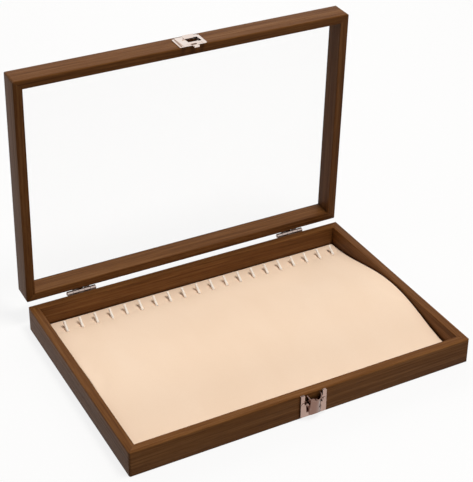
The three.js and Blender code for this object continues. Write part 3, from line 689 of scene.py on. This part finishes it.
PEG_ROOT = 2.2 * MM
PEG_FOOT = 1.2 * MM
PEG_NECK_START = 0.45 * HOOK_REACH
PEG_NECK_END = 0.66 * HOOK_REACH
PEG_TIP_DEGREES = range(-50, 90, 20)
PEG_SIDES = 28


def peg_profile():
    """Radius and height along a peg, from below the cover to its round tip."""
    points = [
        (HOOK_RADIUS * 0.98, -PEG_ROOT),
        (HOOK_RADIUS, 0),
        (HOOK_RADIUS * 0.93, PEG_FOOT),
        (HOOK_NECK, PEG_NECK_START),
        (HOOK_NECK * 1.03, PEG_NECK_END),
    ]
    middle = HOOK_REACH - HOOK_TIP
    for degrees in PEG_TIP_DEGREES:
        angle = math.radians(degrees)
        points.append((HOOK_TIP * math.cos(angle), middle + HOOK_TIP * math.sin(angle)))
    return points


def peg_form():
    """A peg that stands upright at the origin."""
    form = bmesh.new()
    circle = [2 * math.pi * k / PEG_SIDES for k in range(PEG_SIDES)]

    def ring(radius, height):
        places = ((radius * math.cos(a), radius * math.sin(a), height) for a in circle)
        return [form.verts.new(place) for place in places]

    rings = [ring(radius, height) for radius, height in peg_profile()]
    tip = form.verts.new((0, 0, HOOK_REACH))
    form.faces.new(rings[0][::-1])
    for lower, upper in zip(rings, rings[1:]):
        join_rings(form, lower, upper)
    for k in range(PEG_SIDES):
        form.faces.new((rings[-1][k], rings[-1][(k + 1) % PEG_SIDES], tip))
    return form


def add_pegs():
    plastic = hook_plastic("hook_plastic")
    lean = Matrix.Rotation(-HOOK_LEAN, 4, "X")
    for node, x in HOOKS.items():
        form = peg_form()
        form.transform(Matrix.Translation((x, HOOK_Y, pad_height(HOOK_Y))) @ lean)
        peg = add_mesh(f"peg_{node}", form)
        shade_smooth(peg.data)
        peg.data.materials.append(plastic)
        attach(peg, "tray")
        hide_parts(node)


# Studio. Lengths are in metres.
FLOOR_REACH = 6
FLOOR_DROP = 0.3 * MM
FLOOR_GLOW = 0.84
FLOOR_COLOUR = (0.9, 0.9, 0.9)
FLOOR_BOUNCE = (0.12, 0.115, 0.11)
SKY_COLOUR = (1.0, 0.97, 0.94)
SKY_STRENGTH = 0.1


def background_rays(tree):
    """1 for the rays that show the background: seen directly, mirrored or through glass."""
    rays = tree.nodes.new("ShaderNodeLightPath")
    shown = rays.outputs["Is Camera Ray"]
    for ray in ("Is Glossy Ray", "Is Transmission Ray"):
        either = tree.nodes.new("ShaderNodeMath")
        either.operation = "MAXIMUM"
        tree.links.new(shown, either.inputs[0])
        tree.links.new(rays.outputs[ray], either.inputs[1])
        shown = either.outputs["Value"]
    return shown


def mix_surface(tree, share, first, second, output):
    """Joins two shaders, the second by share, to a tree's output node."""
    mixed = tree.nodes.new("ShaderNodeMixShader")
    for source, socket in zip((share, first, second), mixed.inputs):
        tree.links.new(source, socket)
    tree.links.new(mixed.outputs["Shader"], tree.nodes[output].inputs["Surface"])


def floor_white(name):
    """Pale floor that glows where it shows as background and throws little light upward."""
    nodes = Nodes(name)
    rays = nodes.add("ShaderNodeLightPath")
    diffuse = rays.outputs["Is Diffuse Ray"]
    nodes.plug("Base Color", nodes.mix("MIX", diffuse, FLOOR_COLOUR, FLOOR_BOUNCE))
    nodes.plug("Roughness", 1.0)
    nodes.plug("Specular IOR Level", 0.0)
    glow = nodes.add("ShaderNodeEmission")
    nodes.feed(glow.inputs["Color"], WHITE)
    share = nodes.math("MULTIPLY", background_rays(nodes.tree), FLOOR_GLOW)
    own, white = nodes.shader.outputs["BSDF"], glow.outputs["Emission"]
    mix_surface(nodes.tree, share, own, white, "Material Output")
    return nodes.material


def add_floor():
    form = bmesh.new()
    bmesh.ops.create_grid(form, x_segments=1, y_segments=1, size=FLOOR_REACH)
    floor = add_mesh("floor", form)
    floor.location.z = -FLOOR_DROP
    floor.data.materials.append(floor_white("floor_white"))


def light_world():
    world = bpy.data.worlds.new("studio")
    bpy.context.scene.world = world
    world.use_nodes = True
    tree = world.node_tree
    soft = tree.nodes["Background"]
    soft.inputs["Color"].default_value = (*SKY_COLOUR, 1)
    soft.inputs["Strength"].default_value = SKY_STRENGTH
    white = tree.nodes.new("ShaderNodeBackground")
    white.inputs["Color"].default_value = (*WHITE, 1)
    white.inputs["Strength"].default_value = 1
    shaders = (soft.outputs["Background"], white.outputs["Background"])
    mix_surface(tree, background_rays(tree), *shaders, "World Output")


def area_lamp(name, place, target, size, watts, colour):
    """A rectangular lamp that shines from place towards target, and isn't seen itself."""
    data = bpy.data.lights.new(name, "AREA")
    data.shape = "RECTANGLE"
    data.size, data.size_y = size
    data.energy = watts
    data.color = colour
    lamp = bpy.data.objects.new(name, data)
    bpy.context.collection.objects.link(lamp)
    lamp.location = place
    aim = Vector(target) - Vector(place)
    lamp.rotation_euler = aim.to_track_quat("-Z", "Y").to_euler()
    lamp.visible_glossy = False
    lamp.visible_camera = False


def light_studio():
    area_lamp(
        "key",
        place=(0.36, -0.5, 2.1),
        target=(0.0, 0.0, 0.03),
        size=(0.7, 0.6),
        watts=35.5,
        colour=(1.0, 0.97, 0.93),
    )
    area_lamp(
        "left",
        place=(-0.5, 0.24, 0.42),
        target=(-0.17, 0.12, 0.2),
        size=(0.35, 0.3),
        watts=0.4,
        colour=(1.0, 0.99, 0.98),
    )
    area_lamp(
        "front",
        place=(0.0, -0.5, 0.06),
        target=(0.0, -0.12, 0.02),
        size=(0.55, 0.08),
        watts=0.25,
        colour=(1.0, 0.97, 0.93),
    )
    area_lamp(
        "back",
        place=(0.5, 1.3, 0.95),
        target=(0.0, 0.0, 0.05),
        size=(1.4, 0.8),
        watts=9,
        colour=(1.0, 0.98, 0.95),
    )


add_camera()
dress_frame_nodes()
add_pad()
add_pegs()
add_floor()
light_world()
light_studio()
bpy.context.scene.view_settings.view_transform = "Standard"
